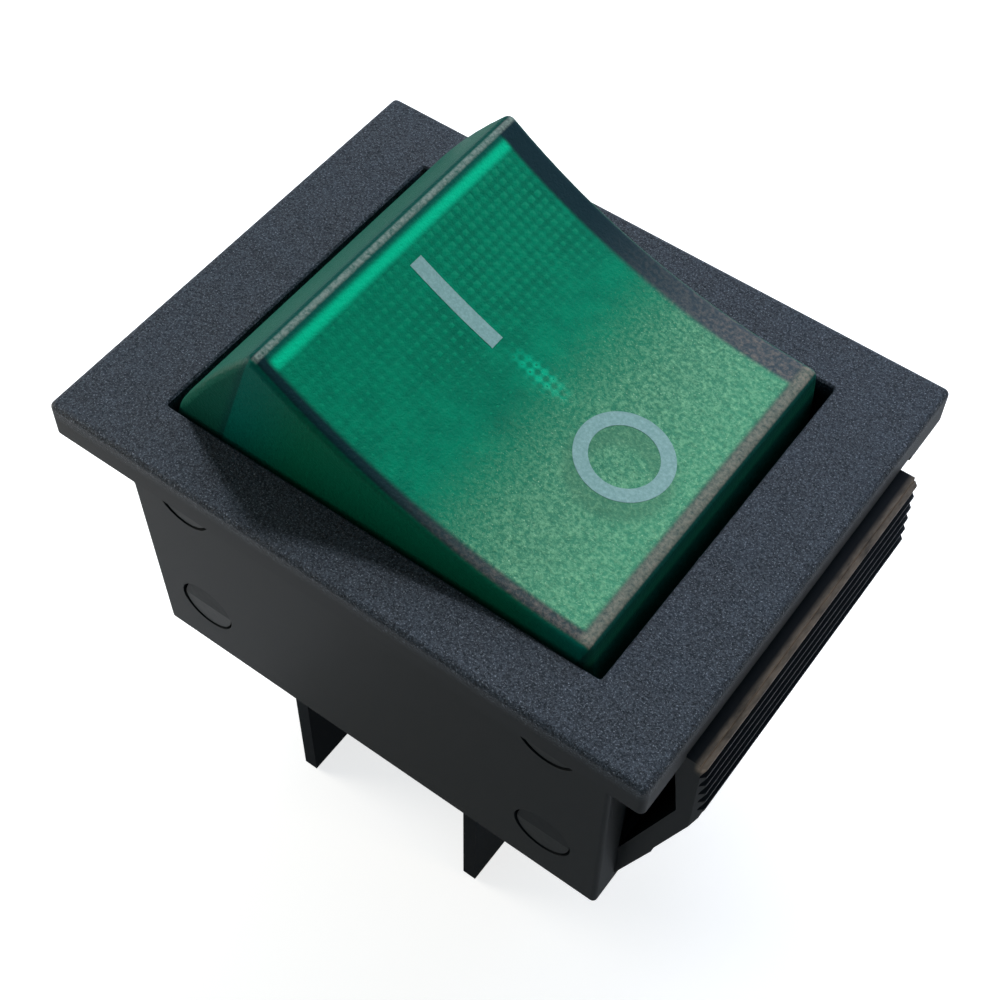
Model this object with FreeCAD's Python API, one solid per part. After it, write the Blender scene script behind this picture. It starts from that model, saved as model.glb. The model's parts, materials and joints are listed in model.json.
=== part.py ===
import FreeCAD, Part
import math
import os

# Panel rocker switch, double pole, green see-through rocker, snap-in housing with blade terminals.
# Millimetres. Origin: centre of the bezel's underside, which seats on the panel. +Z points out of the panel,
# +X runs along the bezel towards the O end, and the front pole is the one on the -Y side.
# Everything is in the off position: the I end of the rocker stands up.

os.makedirs("parts", exist_ok=True)
V = FreeCAD.Vector

# Bezel and opening
bezel_length = 32.2
bezel_width = 25.2
bezel_thickness = 2.0
bezel_edge_radius = 0.3
border_end = 4.3
border_side = 3.15
relief_depth = 0.35
relief_margin = 0.3
opening_corner_radius = 0.15
opening_bevel = 0.1

# Body below the bezel
overhang_end = 2.35
overhang_side = 1.6
draft_end = 0.15
draft_side = 0.3
body_depth = 15.95
body_corner_radius = 0.25
end_wall = 1.2
side_wall = 0.65
cavity_corner_radius = 0.4
end_recess = 0.6
floor_thickness = 1.5
fit_gap = 0.05
rest_from_tab = 0.95
rest_length = 0.95
rest_inset = 0.4
pad_length = 2.4
pad_inset = 0.6

# Snap windows and studs
window_radius = 1.6
window_gap = 0.12
window_from_end = 3.35
upper_window_level = -3.0
window_from_bottom = 3.85
stud_recess = 0.08
stud_ramp = 8

# Snap wings
wing_inset = 1.6
wing_thickness = 0.92
wing_reach = 3.4
wing_step = 0.05
wing_step_level = -10.6
wing_knee_level = -5.4
wing_root_rise = 0.6
wing_top_level = -0.5
wing_head = 1.35
wing_corner_bevel = 0.4
tooth_count = 6
tooth_pitch = 0.77
tooth_depth = 0.2
tooth_lean = 0.045
tooth_slope = 0.66
tooth_land = 0.13

# Rocker and its hinge
half_throw = 18.8
hinge_level = -0.86
rocker_side_gap = 0.25
rocker_end_gap = 0.25
apex_inset = 2.66
apex_height = 7.14
saddle_height = 5.75
end_bulge = 0.25
foot_height = -1.9
hip_height = -0.6
hip_step = 0.1
rocker_wall = 1.1
rocker_skin = 1.2
apex_skin = 1.38
rocker_edge_radius = 0.4
trunnion_radius = 1.25
trunnion_end_gap = 0.1
running_gap = 0.05
web_thickness = 1.0
web_height = 2.0

# Plunger posts, plungers and springs
pole_gap = 0.25
channel_gap = 0.5
post_radius = 2.0
post_drop = 6.0
bore_radius = 1.35
bore_top = 4.0
guide_gap = 0.04
tip_radius = 1.2
guide_overhang = 0.6
plunger_shoulder = -3.6
pilot_radius = 0.6
pilot_length = 1.4
spring_wire = 0.32
spring_radius = 0.95
spring_turns = 4
spring_sides = 4

# Contact levers and contacts
lever_height = 2.15
lever_thickness = 0.7
lever_half_length = 8.0
trough_half_length = 3.9
bend_run = 0.75
lug_radius = 0.5
rivet_radius = 1.3
rivet_head = 0.6
rivet_shank_radius = 0.7
rivet_closing = 0.3
contact_x = 7.0
touch_gap = 0.03

# Terminals
sheet = 0.8
tab_end_level = -26.85
tab_tip_radius = 0.35
tab_hole_radius = 0.85
tab_hole_from_end = 4.2
common_tab_inset = 6.4
load_tab_inset = 7.2
shelf_end = 1.6
bend_radius = 0.3
ear_half_length = 1.5
ear_gap = 0.1
ear_rise = 0.55

# Lamp, resistor and their leads
lamp_radius = 2.0
lamp_length = 9.0
lamp_level = -2.0
glass_wall = 0.4
nose_length = 1.2
pip_length = 0.4
electrode_radius = 0.35
electrode_offset = 0.8
resistor_height = 4.95
resistor_radius = 0.95
resistor_length = 5.0
cap_radius = 1.15
cap_length = 1.0
cap_overlap = 0.2
wire_radius = 0.25
lead_reach = 1.1
lead_spread = 0.8
lead_over_channel = 0.15
channel_half_width = 2.1
channel_wall = 0.8
channel_height = 7.1
saddle_inset = 0.6
saddle_thickness = 0.8

# How far joined solids reach into each other, and the tolerance for finding edges
overlap = 0.1
tiny = 0.01

# Values worked out from the ones above
opening_length = bezel_length - 2 * border_end
opening_width = bezel_width - 2 * border_side
body_length_top = bezel_length - 2 * overhang_end
body_width_top = bezel_width - 2 * overhang_side
body_length_bottom = body_length_top - 2 * draft_end
body_width_bottom = body_width_top - 2 * draft_side
cavity_length = body_length_bottom - 2 * end_wall
cavity_width = body_width_bottom - 2 * side_wall
floor_level = -body_depth + floor_thickness
wing_width = body_width_bottom - 2 * wing_inset
wing_tip_x = body_length_bottom / 2 + wing_reach + tooth_depth - wing_step
window_x = body_length_top / 2 - window_from_end
window_levels = (upper_window_level, window_from_bottom - body_depth)
wing_root_level = wing_root_rise - body_depth
stud_radius = window_radius - window_gap
cheek_inner = opening_width / 2
cheek_outer = cavity_width / 2 - fit_gap
base_reach = cavity_length / 2 - fit_gap
common_tab_x = common_tab_inset - cavity_length / 2
load_tab_x = cavity_length / 2 - load_tab_inset
rocker_width = opening_width - 2 * rocker_side_gap
apex_x = opening_length / 2 - apex_inset
foot_x = opening_length / 2 - rocker_end_gap
pole_inner = channel_half_width + channel_wall + channel_gap
pole_outer = cheek_inner - pole_gap
pole_offset = (pole_inner + pole_outer) / 2
shelf_width = pole_outer - pole_inner
lever_width = shelf_width - 2 * (sheet + ear_gap)
tab_width = 2 * (cheek_inner - pole_offset)
rest_width = lever_width - 2 * rest_inset
pad_width = shelf_width - 2 * pad_inset
plunger_radius = bore_radius - guide_gap
lever_half_throw = half_throw / 2
lever_level = floor_level + lever_height
lever_drop = hinge_level - lever_level
tip_drop = lever_drop - lever_thickness / 2 - tip_radius - touch_gap
landing_y = channel_half_width + channel_wall + lead_spread
lead_crossing = floor_level + channel_height + lead_over_channel
resistor_level = floor_level + resistor_height


def box(x0, x1, y0, y1, z0, z1):
    return Part.makeBox(x1 - x0, y1 - y0, z1 - z0, V(x0, y0, z0))


def across(radius, y0, y1, x, z):
    # cylinder lying along Y
    return Part.makeCylinder(radius, y1 - y0, V(x, y0, z), V(0, 1, 0))


def lying(radius, x0, x1, y, z):
    # cylinder lying along X
    return Part.makeCylinder(radius, x1 - x0, V(x0, y, z), V(1, 0, 0))


def slab(edges, y0, y1):
    # closed outline in the XZ plane, pushed along Y
    face = Part.Face(Part.Wire(edges))
    solid = face.extrude(V(0, y1 - y0, 0))
    solid.translate(V(0, y0, 0))
    return solid


def outline(points):
    corners = [V(x, 0, z) for x, z in points]
    return Part.makePolygon(corners + corners[:1]).Edges


def line(a, b):
    return Part.makeLine(V(a[0], 0, a[1]), V(b[0], 0, b[1]))


def arc(a, b, c):
    return Part.Arc(V(a[0], 0, a[1]), V(b[0], 0, b[1]), V(c[0], 0, c[1])).toShape()


def rounded_rectangle(length, width, radius, level):
    block = Part.makeBox(length, width, 1, V(-length / 2, -width / 2, level))
    upright = [e for e in block.Edges if abs(e.tangentAt(e.FirstParameter).z) > 0.9]
    block = block.makeFillet(radius, upright)
    base = [f for f in block.Faces if f.normalAt(0, 0).z < -0.9][0]
    return base.OuterWire


def rounded_block(length, width, radius, z0, z1):
    face = Part.Face(rounded_rectangle(length, width, radius, z0))
    return face.extrude(V(0, 0, z1 - z0))


def edges_at(shape, test):
    # edges whose middle point and both ends pass the test
    found = []
    for edge in shape.Edges:
        if edge.Degenerated:
            continue
        middle = edge.valueAt((edge.FirstParameter + edge.LastParameter) / 2)
        if all(test(p) for p in [middle] + [v.Point for v in edge.Vertexes]):
            found.append(edge)
    return found


def mirrored_x(shape):
    return shape.mirror(V(0, 0, 0), V(1, 0, 0))


def mirrored_y(shape):
    return shape.mirror(V(0, 0, 0), V(0, 1, 0))


def join(shapes):
    return shapes[0].multiFuse(shapes[1:]).removeSplitter()


def turned(shape, x, z, angle):
    # turned about an axis along +Y; a positive angle lowers the +X side
    shape.rotate(V(x, 0, z), V(0, 1, 0), angle)
    return shape


def save(shape, node):
    solid = shape.Solids[0] if len(shape.Solids) == 1 else shape
    solid.exportStep("parts/" + node + ".step")


# Housing

def bezel():
    plate = box(-bezel_length / 2, bezel_length / 2, -bezel_width / 2, bezel_width / 2, 0, bezel_thickness)
    plate = plate.makeFillet(bezel_edge_radius, [e for e in plate.Edges if e.CenterOfMass.z > tiny])
    hole = rounded_block(opening_length, opening_width, opening_corner_radius, -1, bezel_thickness + 1)
    plate = plate.cut(hole)
    # the underside stands back over each wing, so that the wing's head can spring out and in
    half = wing_width / 2 + relief_margin
    start = body_length_top / 2
    for x in (start, -start - bezel_length):
        plate = plate.cut(box(x, x + bezel_length, -half, half, -1, relief_depth))
    lip = edges_at(plate, lambda p: p.z > bezel_thickness - tiny and abs(p.x) < opening_length / 2 + tiny
                   and abs(p.y) < opening_width / 2 + tiny)
    return plate.makeChamfer(opening_bevel, lip)


def body_walls():
    top = rounded_rectangle(body_length_top, body_width_top, body_corner_radius, 0)
    bottom = rounded_rectangle(body_length_bottom, body_width_bottom, body_corner_radius, -body_depth)
    tube = Part.makeLoft([top, bottom], True, True)
    tube = tube.cut(rounded_block(cavity_length, cavity_width, cavity_corner_radius, -body_depth - 1, 0))
    # the end walls are thinner behind the wings, which bend in here
    depth = 2 * end_recess
    start = body_length_top / 2 - end_recess
    for x in (start, -start - depth):
        tube = tube.cut(box(x, x + depth, -wing_width / 2, wing_width / 2, wing_root_level + end_recess,
                            wing_top_level))
    return tube


def wing_outline():
    # springy arm on the +X end: root, slanted strap, head whose toothed face leans in towards the top
    root_x = body_length_bottom / 2
    knee_x = root_x + wing_reach
    rise = wing_knee_level - wing_root_level
    run = V(wing_reach, 0, rise)
    inward = wing_thickness * run.Length / rise
    step_x = root_x + wing_reach * (wing_step_level - wing_root_level) / rise
    foot_z = wing_root_level - wing_step
    points = [(root_x - end_wall / 3, foot_z), (root_x, foot_z),
              (step_x + wing_step, wing_step_level - 2 * wing_step), (step_x, wing_step_level),
              (knee_x, wing_knee_level)]
    tip_x = wing_tip_x
    for i in range(tooth_count):
        ledge = wing_knee_level + wing_step + tooth_pitch * (i + 1)
        points += [(tip_x - tooth_depth, ledge - tooth_slope), (tip_x, ledge - tooth_land), (tip_x, ledge),
                   (tip_x - tooth_depth - tooth_lean, ledge)]
        tip_x -= tooth_lean
    top_x = knee_x - wing_head
    back_z = wing_root_level + inward * rise / wing_reach
    points += [(tip_x - tooth_depth, wing_top_level), (top_x, wing_top_level),
               (top_x, wing_top_level - 2 * wing_thickness), (knee_x - inward, wing_knee_level),
               (root_x, back_z), (root_x - end_wall / 3, back_z)]
    return points


def wing():
    arm = slab(outline(wing_outline()), -wing_width / 2, wing_width / 2)
    envelope = box(0, wing_tip_x, -wing_width / 2, wing_width / 2, -body_depth, wing_top_level)
    corners = edges_at(envelope, lambda p: p.x > wing_tip_x - tiny and abs(abs(p.y) - wing_width / 2) < tiny)
    return arm.common(envelope.makeChamfer(wing_corner_bevel, corners))


def windows():
    cuts = []
    for level in window_levels:
        for x in (-window_x, window_x):
            cuts.append(across(window_radius, -body_width_top, body_width_top, x, level))
    return cuts


def housing():
    shell = join([bezel(), body_walls(), wing(), mirrored_x(wing())])
    shell = shell.cut(Part.makeCompound(windows()))
    hinge_room = across(trunnion_radius + running_gap, -cavity_width / 2, cavity_width / 2, 0, hinge_level)
    return shell.cut(hinge_room)


# Contact base: the inner moulding that carries the terminals and locks the rocker in

def stud(x, level):
    # round stud on the -Y cheek whose face slopes in towards the top, so that it clicks into its window
    outer = body_width_top / 2 - draft_side * -level / body_depth
    face = outer - stud_recess
    pin = across(stud_radius, -face, -cheek_outer + side_wall / 3, x, level)
    size = 2 * window_radius
    wedge = box(x - size, x + size, -face - size, -face, level, level + size)
    wedge.rotate(V(x, -face, level), V(1, 0, 0), -stud_ramp)
    return pin.cut(wedge)


def cheeks():
    half = cavity_length / 2 - cavity_corner_radius - 2 * fit_gap
    near = box(-half, half, -cheek_outer, -cheek_inner, floor_level - overlap, 0)
    radius = trunnion_radius + running_gap
    near = near.cut(across(radius, -cheek_outer, -cheek_inner, 0, hinge_level))
    near = near.cut(box(-radius, radius, -cheek_outer, -cheek_inner, hinge_level, 1))
    parts = [near]
    for level in window_levels:
        parts += [stud(-window_x, level), stud(window_x, level)]
    near = join(parts)
    return [near, mirrored_y(near)]


def foot_at_rest():
    # lowest corner of the pressed end of the rocker
    a = math.radians(half_throw)
    x = foot_x * math.cos(a) + foot_height * math.sin(a)
    z = -foot_x * math.sin(a) + foot_height * math.cos(a)
    return x, hinge_level + z


def end_stops():
    x, z = foot_at_rest()
    top = z - fit_gap
    wall = box(base_reach - end_wall, base_reach, -cheek_inner, cheek_inner, floor_level - overlap, top)
    ledge = box(x - end_wall / 2, base_reach, -cheek_inner, cheek_inner, top - end_wall, top)
    stop = wall.fuse(ledge)
    return [stop, mirrored_x(stop)]


def lamp_channel():
    y0 = channel_half_width
    y1 = channel_half_width + channel_wall
    reach = base_reach - end_wall / 2
    top = floor_level + channel_height
    parts = [box(-reach, reach, y0, y1, floor_level - overlap, top)]
    saddle_x = lamp_length / 2 - saddle_inset
    half = saddle_thickness / 2
    for x in (-saddle_x, saddle_x):
        parts.append(box(x - half, x + half, y0, y1, top - saddle_thickness, lamp_level + lamp_radius / 4))
        parts.append(box(x - half, x + half, -overlap, y0 + overlap, lamp_level - lamp_radius - 2 * half,
                         lamp_level - lamp_radius / 2))
    side = join(parts)
    frame = join([side, mirrored_y(side)])
    frame = frame.cut(lying(lamp_radius + touch_gap, -lamp_length, lamp_length, 0, lamp_level))
    # slots where two leads cross the walls
    slot = wire_radius + 3 * running_gap
    for x, side in ((lead_x(), -1), (-lead_x(), 1)):
        near, far = sorted((side * y0, side * y1))
        frame = frame.cut(box(x - slot, x + slot, near - overlap, far + overlap, lead_crossing - slot, top + 1))
    return frame


def contact_base():
    parts = [rounded_block(2 * base_reach, 2 * cheek_outer, cavity_corner_radius, -body_depth, floor_level)]
    parts += cheeks() + end_stops() + [lamp_channel()]
    rest_top = lever_level + level_arm_top() - lever_thickness - touch_gap
    for side in (-1, 1):
        y = side * pole_offset
        # rest for the lowered lever arm, and the pad under the load contact
        rest_x = common_tab_x - rest_from_tab
        parts.append(box(rest_x - rest_length, rest_x, y - rest_width / 2, y + rest_width / 2,
                         floor_level - overlap, rest_top))
        pad_x = load_tab_x + rest_from_tab
        parts.append(box(pad_x, pad_x + pad_length, y - pad_width / 2, y + pad_width / 2,
                         floor_level - overlap, load_shelf_top() - sheet))
    base = join(parts)
    for side in (-1, 1):
        y = side * pole_offset
        half = tab_width / 2 + fit_gap
        for x in (common_tab_x, load_tab_x):
            base = base.cut(box(x - sheet / 2 - fit_gap, x + sheet / 2 + fit_gap, y - half, y + half,
                                -body_depth - 1, floor_level + sheet / 2))
        # room for the common terminal's bend
        base = base.cut(box(common_tab_x, common_tab_x + sheet / 2 + bend_radius + fit_gap, y - half, y + half,
                            floor_level - bend_radius - fit_gap, floor_level + fit_gap))
    return base


# Terminals

def tab(x, top):
    # blade with a latch hole and rounded end, wide faces along X
    y0 = pole_offset - tab_width / 2
    blade = box(x - sheet / 2, x + sheet / 2, y0, y0 + tab_width, tab_end_level, top)
    tip = edges_at(blade, lambda p: p.z < tab_end_level + tiny)
    blade = blade.makeFillet(tab_tip_radius, tip)
    hole = lying(tab_hole_radius, x - sheet, x + sheet, pole_offset, tab_end_level + tab_hole_from_end)
    return blade.cut(hole)


def bent(piece, x, z_out, z_in):
    # rounds the bend where the blade's outer face at x turns into the shelf
    outside = edges_at(piece, lambda p: abs(p.x - x) < tiny and abs(p.z - z_out) < tiny)
    piece = piece.makeFillet(sheet, outside)
    inside = edges_at(piece, lambda p: abs(p.x - x - sheet) < tiny and abs(p.z - z_in) < tiny)
    return piece.makeFillet(bend_radius, inside)


def ear(side):
    # notched ear of the common terminal that carries one lug of the lever
    inner = lever_width / 2 + ear_gap
    y0 = pole_offset + (inner if side > 0 else -inner - sheet)
    top = lever_level + ear_rise
    plate = box(-ear_half_length, ear_half_length, y0, y0 + sheet, floor_level, top)
    corners = edges_at(plate, lambda p: p.z > top - tiny and abs(abs(p.x) - ear_half_length) < tiny)
    plate = plate.makeFillet(ear_rise, corners)
    radius = lug_radius + running_gap
    plate = plate.cut(across(radius, y0, y0 + sheet, 0, lever_level))
    return plate.cut(box(-radius, radius, y0, y0 + sheet, lever_level, lever_level + 2 * ear_rise))


def common_terminal():
    shelf_top = floor_level + sheet
    x0 = common_tab_x - sheet / 2
    y0 = pole_offset - shelf_width / 2
    shelf = box(x0, shelf_end, y0, y0 + shelf_width, floor_level, shelf_top)
    piece = join([tab(common_tab_x, shelf_top), shelf, ear(-1), ear(1)])
    return bent(piece, x0, shelf_top, floor_level)


def load_terminal():
    top = load_shelf_top()
    x0 = load_tab_x - sheet / 2
    seat_x = load_contact_x()
    shelf = box(x0, seat_x + rivet_radius + rivet_closing, pole_offset - shelf_width / 2,
                pole_offset + shelf_width / 2, top - sheet, top)
    piece = bent(join([tab(load_tab_x, top), shelf]), x0, top, top - sheet)
    return piece.cut(Part.makeCylinder(rivet_shank_radius, 3 * sheet, V(seat_x, pole_offset, top - 2 * sheet)))


def rivet(shank, x, y, z):
    # contact rivet standing on the level z, shank below and head above
    stem = Part.makeCylinder(rivet_shank_radius, shank, V(x, y, z - shank))
    head = Part.makeCylinder(rivet_radius, rivet_head, V(x, y, z))
    return stem.fuse(head).removeSplitter()


def fixed_contact():
    return rivet(sheet, load_contact_x(), pole_offset, load_shelf_top())


# Contact levers, drawn level about their pivot and then tipped to the off position

def tip_circle():
    # seen from the turning lever, the plunger's tip keeps to a circle
    # gives its centre's height above the pivot and its radius
    a = math.radians(half_throw)
    b = math.radians(lever_half_throw)
    px = tip_drop * math.sin(a)
    pz = lever_drop - tip_drop * math.cos(a)
    tip_x = px * math.cos(b) - pz * math.sin(b)
    rise = px * math.sin(b) + pz * math.cos(b) - (lever_drop - tip_drop)
    radius = (tip_x ** 2 + rise ** 2) / (2 * rise)
    return lever_drop - tip_drop + radius, radius


def trough():
    # centre height and radius of the lever's hollow top surface, which leaves room for the round tip
    centre, radius = tip_circle()
    return centre, radius + tip_radius + touch_gap


def arm_top(x):
    # top of the straight arm at distance x from the pivot
    centre, radius = trough()
    edge = centre - math.sqrt(radius ** 2 - trough_half_length ** 2)
    return edge + (x - trough_half_length) * math.tan(math.radians(lever_half_throw))


def level_arm_top():
    # height of the arm's top above the pivot while that arm lies level
    a = math.radians(lever_half_throw)
    return -contact_x * math.sin(a) + arm_top(contact_x) * math.cos(a)


def load_contact_x():
    a = math.radians(lever_half_throw)
    return contact_x * math.cos(a) + arm_top(contact_x) * math.sin(a)


def load_shelf_top():
    # the closed contacts leave a hair of room between the two rivet heads
    closed = lever_level + level_arm_top() - lever_thickness
    return closed - 2 * rivet_head - touch_gap


def lever_outline():
    centre, radius = trough()
    outer = radius + lever_thickness
    a = math.radians(lever_half_throw)
    end = trough_half_length
    spread = math.asin(end / radius)
    tip = (lever_half_length, arm_top(lever_half_length))
    points = [(end, arm_top(end)), tip,
              (tip[0] + lever_thickness * math.sin(a), tip[1] - lever_thickness * math.cos(a)),
              (end + bend_run, arm_top(end + bend_run) - lever_thickness / math.cos(a)),
              (outer * math.sin(spread), centre - outer * math.cos(spread))]
    left = [(-x, z) for x, z in points]
    edges = [line(a, b) for a, b in zip(points, points[1:])] + [line(a, b) for a, b in zip(left, left[1:])]
    edges.append(arc(left[0], (0, centre - radius), points[0]))
    edges.append(arc(left[-1], (0, centre - outer), points[-1]))
    return Part.__sortEdges__(edges)


def on_lever(shape):
    shape.translate(V(0, pole_offset, lever_level))
    return turned(shape, 0, lever_level, -lever_half_throw)


def lever():
    strip = slab(lever_outline(), -lever_width / 2, lever_width / 2)
    # a lug on each edge, clear of the trough that the plunger slides in
    half = lever_width / 2
    lugs = [across(lug_radius, half - overlap, half + sheet, 0, 0),
            across(lug_radius, -half - sheet, overlap - half, 0, 0)]
    top = arm_top(contact_x)
    low = top - 2 * lever_thickness
    hole = Part.makeCylinder(rivet_shank_radius, 4 * lever_thickness, V(contact_x, 0, low))
    hole = turned(hole, contact_x, top, -lever_half_throw)
    return on_lever(join([strip] + lugs).cut(hole))


def moving_contact():
    top = arm_top(contact_x)
    piece = rivet(lever_thickness, contact_x, 0, top)
    closing = Part.makeCylinder(rivet_radius - rivet_closing, rivet_closing,
                                V(contact_x, 0, top - lever_thickness - rivet_closing))
    piece = piece.fuse(closing).removeSplitter()
    # the head faces down, so the piece is flipped about the strip's middle
    piece.rotate(V(contact_x, 0, top - lever_thickness / 2), V(0, 1, 0), 180)
    return on_lever(turned(piece, contact_x, top, -lever_half_throw))


# Rocker, drawn level about its hinge and then tipped to the off position

def tipped(shape):
    shape.translate(V(0, 0, hinge_level))
    return turned(shape, 0, hinge_level, half_throw)


def flip(p):
    return (-p[0], p[1])


def rocker_block():
    apex = (apex_x, apex_height)
    hip = (foot_x + hip_step, hip_height)
    foot = (foot_x, foot_height)
    lean = math.atan2(hip[0] - apex_x, apex_height - hip_height)
    middle_x = (apex_x + hip[0]) / 2
    middle_z = (apex_height + hip_height) / 2
    bulge = (middle_x + end_bulge * math.cos(lean), middle_z + end_bulge * math.sin(lean))
    edges = [arc(flip(apex), (0, saddle_height), apex), arc(apex, bulge, hip), line(hip, foot),
             line(foot, flip(foot)), line(flip(foot), flip(hip)), arc(flip(hip), flip(bulge), flip(apex))]
    solid = slab(edges, -rocker_width / 2, rocker_width / 2)
    # rounded: all round the crown, and the curved edges where the end faces meet the sides
    crown = edges_at(solid, lambda p: p.z > saddle_height - tiny)
    ends = edges_at(solid, lambda p: abs(p.x) > apex_x - tiny and abs(abs(p.y) - rocker_width / 2) < tiny
                    and p.z > hip_height - tiny)
    return solid.makeFillet(rocker_edge_radius, crown + ends)


def rocker_hollow():
    apex = (apex_x - rocker_wall, apex_height - apex_skin)
    hip = (foot_x + hip_step - rocker_wall, hip_height)
    foot = (foot_x - rocker_wall, foot_height - 1)
    edges = [arc(flip(apex), (0, saddle_height - rocker_skin), apex), line(apex, hip), line(hip, foot),
             line(foot, flip(foot)), line(flip(foot), flip(hip)), line(flip(hip), flip(apex))]
    half = rocker_width / 2 - rocker_wall
    return slab(edges, -half, half)


def post(side):
    # tube that guides a plunger, its roots buried in the rocker's skin
    length = post_drop + saddle_height - rocker_skin / 2
    return Part.makeCylinder(post_radius, length, V(0, side * pole_offset, -post_drop))


def trunnion(side):
    end = cavity_width / 2 - trunnion_end_gap
    pin = across(trunnion_radius, rocker_width / 2 - rocker_wall / 2, end, 0, 0)
    nose = edges_at(pin, lambda p: p.y > end - tiny)
    pin = pin.makeChamfer(2 * trunnion_end_gap, nose)
    return pin if side > 0 else mirrored_y(pin)


def rocker():
    top = saddle_height - rocker_skin / 2
    web = box(-web_thickness / 2, web_thickness / 2, -pole_offset, pole_offset, top - web_height, top)
    parts = [rocker_block().cut(rocker_hollow()), web]
    for side in (-1, 1):
        parts += [post(side), trunnion(side)]
    solid = join(parts)
    for side in (-1, 1):
        foot = V(0, side * pole_offset, -post_drop)
        solid = solid.cut(Part.makeCylinder(bore_radius, post_drop + bore_top, foot))
    return tipped(solid)


def plunger():
    low = -post_drop - guide_overhang
    tip = Part.makeSphere(tip_radius, V(0, pole_offset, -tip_drop), V(0, 0, 1), -90, 0)
    shaft = Part.makeCylinder(tip_radius, tip_drop + low, V(0, pole_offset, -tip_drop))
    guide = Part.makeCylinder(plunger_radius, plunger_shoulder - low, V(0, pole_offset, low))
    pilot = Part.makeCylinder(pilot_radius, pilot_length, V(0, pole_offset, plunger_shoulder))
    return tipped(join([tip, shaft, guide, pilot]))


def spring():
    length = bore_top - plunger_shoulder - spring_wire
    helix = Part.makeHelix(length / spring_turns, length, spring_radius)
    corners = []
    for i in range(spring_sides):
        a = 2 * math.pi * i / spring_sides
        corners.append(V(spring_radius + spring_wire / 2 * math.cos(a), 0, spring_wire / 2 * math.sin(a)))
    section = Part.makePolygon(corners + corners[:1])
    coil = Part.Wire(helix.Edges).makePipeShell([section], True, True)
    coil.translate(V(0, pole_offset, plunger_shoulder + spring_wire / 2))
    return tipped(coil)


# Lamp, its resistor and leads

def lamp_glass():
    # pinched base at the +X end, nose drawn to a sealed pip at the other, the gas space closed in between
    half = lamp_length / 2
    nose = -half + nose_length
    base = half - nose_length
    inside = lamp_radius - glass_wall
    wall = [(-half, 0), (nose, 0), (nose, inside), (base, inside), (base, 0), (half, 0), (half, lamp_radius),
            (nose, lamp_radius), (-half + pip_length, lamp_radius / 2)]
    glass = Part.Face(Part.Wire(outline(wall))).revolve(V(0, 0, 0), V(1, 0, 0), 360)
    glass.translate(V(0, 0, lamp_level))
    return glass


def electrode(side):
    half = lamp_length / 2
    y = side * electrode_offset
    return lying(electrode_radius, -half + 2 * nose_length, half - nose_length, y, lamp_level)


def wire(points):
    # round wire along straight legs with sharp bends
    path = [V(*p) for p in points]
    ring = Part.makeCircle(wire_radius, path[0], path[1] - path[0])
    return Part.makePolygon(path).makePipeShell([Part.Wire([ring])], True, False, 1)


def lead_x():
    return lamp_length / 2 + lead_reach


def lamp_lead_front():
    # from the lamp over the channel wall to the front load terminal
    x, y = lead_x(), -electrode_offset
    return wire([(lamp_length / 2, y, lamp_level), (x, y, lamp_level), (x, y, lead_crossing),
                 (x, -landing_y, lead_crossing), (x, -landing_y, load_shelf_top())])


def lamp_lead_rear():
    # from the lamp down to the resistor
    x, y = lead_x() + lead_spread, electrode_offset
    return wire([(lamp_length / 2, y, lamp_level), (x, y, lamp_level), (x, y, resistor_level),
                 (x, 0, resistor_level), (resistor_end(), 0, resistor_level)])


def resistor_end():
    return resistor_length / 2 + cap_length - cap_overlap


def resistor_lead():
    # from the resistor over the channel wall and along it to the rear load terminal
    x = -lead_x()
    return wire([(-resistor_end(), 0, resistor_level), (x, 0, resistor_level), (x, 0, lead_crossing),
                 (x, landing_y, lead_crossing), (lead_x(), landing_y, lead_crossing),
                 (lead_x(), landing_y, load_shelf_top())])


def resistor_body():
    return lying(resistor_radius, -resistor_length / 2, resistor_length / 2, 0, resistor_level)


def resistor_cap():
    cap = lying(cap_radius, resistor_end() - cap_length, resistor_end(), 0, resistor_level)
    return cap.cut(lying(resistor_radius, 0, resistor_length / 2, 0, resistor_level))


def both_poles(shape, name):
    save(shape, name + "_rear")
    save(mirrored_y(shape), name + "_front")


save(housing(), "housing")
save(contact_base(), "contact_base")
save(rocker(), "rocker")
both_poles(common_terminal(), "common_terminal")
both_poles(load_terminal(), "load_terminal")
both_poles(fixed_contact(), "fixed_contact")
both_poles(lever(), "contact_lever")
both_poles(moving_contact(), "moving_contact")
both_poles(plunger(), "plunger")
both_poles(spring(), "plunger_spring")
save(lamp_glass(), "lamp_glass")
save(electrode(-1), "lamp_electrode_front")
save(electrode(1), "lamp_electrode_rear")
save(lamp_lead_front(), "lamp_lead_front")
save(lamp_lead_rear(), "lamp_lead_rear")
save(resistor_lead(), "resistor_lead")
save(resistor_body(), "resistor_body")
save(resistor_cap(), "resistor_cap_lamp_side")
save(mirrored_x(resistor_cap()), "resistor_cap_line_side")
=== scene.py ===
import json
import math

import bmesh
import bpy
from mathutils import Matrix, Vector


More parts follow.
